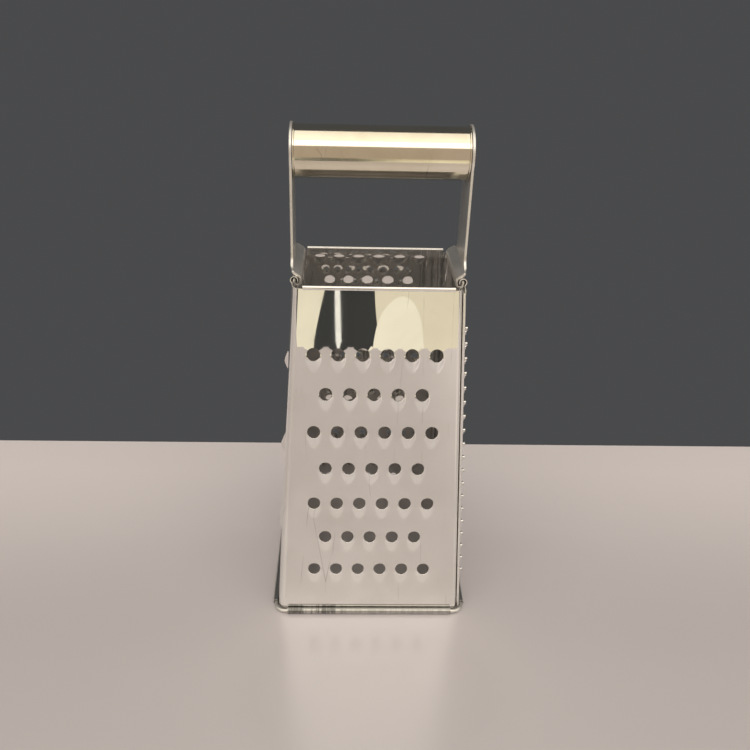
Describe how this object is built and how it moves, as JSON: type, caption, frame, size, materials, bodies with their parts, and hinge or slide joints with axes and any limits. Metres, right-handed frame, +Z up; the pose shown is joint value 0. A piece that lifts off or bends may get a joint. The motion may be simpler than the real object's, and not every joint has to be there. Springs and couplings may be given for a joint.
{
  "type": "box grater",
  "caption": "Tall box-shaped sheet steel kitchen grater with coarse, fine, rasp and slicing walls, open top and foot, and a tube grip across the top on hooked straps.",
  "frame": {"origin": "middle of the foot's outline, on the table that the grater stands on", "axes": "+Z up to the grip, +X along the grip towards the rasp wall, -Y the way the coarse wall faces"},
  "size_m": [0.0952, 0.0702, 0.2304],
  "materials": {
    "polished_sheet": "polished",
    "strap_steel": "polished",
    "grip_steel": "satin"
  },
  "bodies": {
    "grater": {"front_left_sheet": "polished_sheet", "rear_right_sheet": "polished_sheet", "foot_wire": "strap_steel", "left_strap": "strap_steel", "right_strap": "strap_steel"},
    "grip": {"grip_tube": "grip_steel"}
  },
  "joints": [
    {"name": "grip_spin", "type": "hinge", "parent": "grater", "child": "grip", "pos_m": [0, 0, 0.2188], "axis": [1, 0, 0], "continuous": true}
  ]
}
